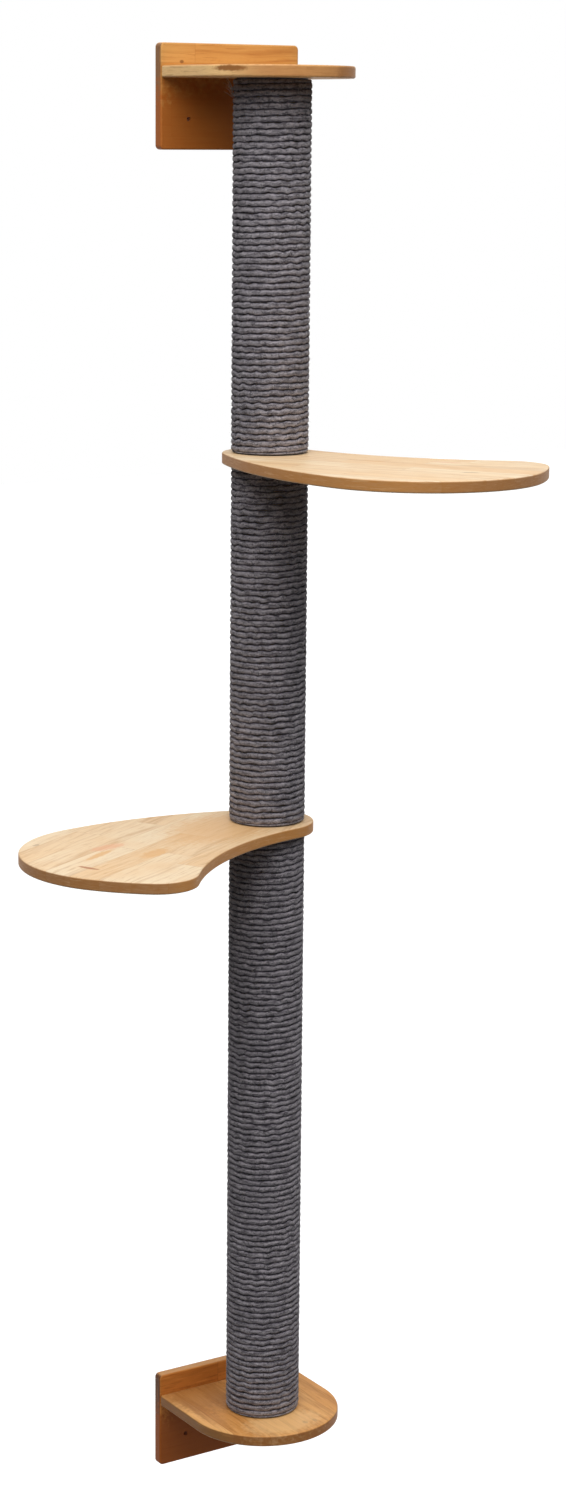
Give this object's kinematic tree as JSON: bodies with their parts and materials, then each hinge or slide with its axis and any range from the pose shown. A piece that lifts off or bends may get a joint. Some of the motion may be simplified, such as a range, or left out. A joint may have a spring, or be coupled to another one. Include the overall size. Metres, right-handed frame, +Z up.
{
  "type": "wall mounted cat tree",
  "caption": "Tall rope-wound scratching post held between two wooden wall brackets, with two bean-shaped wooden lying boards that swivel about the post.",
  "frame": {"origin": "midway between the two fixing holes of the lower wall plate, on the wall's face", "axes": "+X along the wall to the right as seen from the room, +Y into the wall, +Z up along the post"},
  "size_m": [0.7437, 0.5996, 2.319],
  "materials": {
    "board_wood": "pale finger-jointed hardwood, oiled, satin",
    "bracket_wood": "warm orange-brown glued hardwood, oiled, satin",
    "dowel_wood": "raw fluted dowel",
    "rope": "dark grey twisted natural-fibre rope, fuzzy",
    "tube_card": "spiral-wound board",
    "cap_plastic": "black moulded plastic",
    "insert_brass": "turned",
    "steel": "zinc plated"
  },
  "bodies": {
    "post_and_brackets": {"bottom_console": "bracket_wood", "bottom_console_dowels": "dowel_wood", "bottom_console_screws": "steel", "bottom_end_bolt": "steel", "bottom_end_washer": "steel", "bottom_wall_plate": "bracket_wood", "lower_cap_screws": "steel", "lower_insert_nuts": "insert_brass", "lower_joining_stud": "steel", "lower_rope": "rope", "lower_rope_staples": "steel", "lower_rope_turns": "rope", "lower_tube": "tube_card", "lower_tube_bottom_cap": "cap_plastic", "lower_tube_top_cap": "cap_plastic", "middle_cap_screws": "steel", "middle_insert_nuts": "insert_brass", "middle_rope": "rope", "middle_rope_staples": "steel", "middle_rope_turns": "rope", "middle_tube": "tube_card", "middle_tube_bottom_cap": "cap_plastic", "middle_tube_top_cap": "cap_plastic", "top_console": "bracket_wood", "top_console_dowels": "dowel_wood", "top_console_screws": "steel", "top_end_bolt": "steel", "top_end_washer": "steel", "top_wall_plate": "bracket_wood", "upper_cap_screws": "steel", "upper_insert_nuts": "insert_brass", "upper_joining_stud": "steel", "upper_rope": "rope", "upper_rope_staples": "steel", "upper_rope_turns": "rope", "upper_tube": "tube_card", "upper_tube_bottom_cap": "cap_plastic", "upper_tube_top_cap": "cap_plastic"},
    "lower_board": {"lower_platform": "board_wood"},
    "upper_board": {"upper_platform": "board_wood"}
  },
  "joints": [
    {"name": "lower_platform_swivel", "type": "hinge", "parent": "post_and_brackets", "child": "lower_board", "pos_m": [0, -0.138, 1.055], "axis": [0, 0, 1], "range_deg": [-5, 157]},
    {"name": "upper_platform_swivel", "type": "hinge", "parent": "post_and_brackets", "child": "upper_board", "pos_m": [0, -0.138, 1.638], "axis": [0, 0, 1], "range_deg": [-96, 66]}
  ]
}
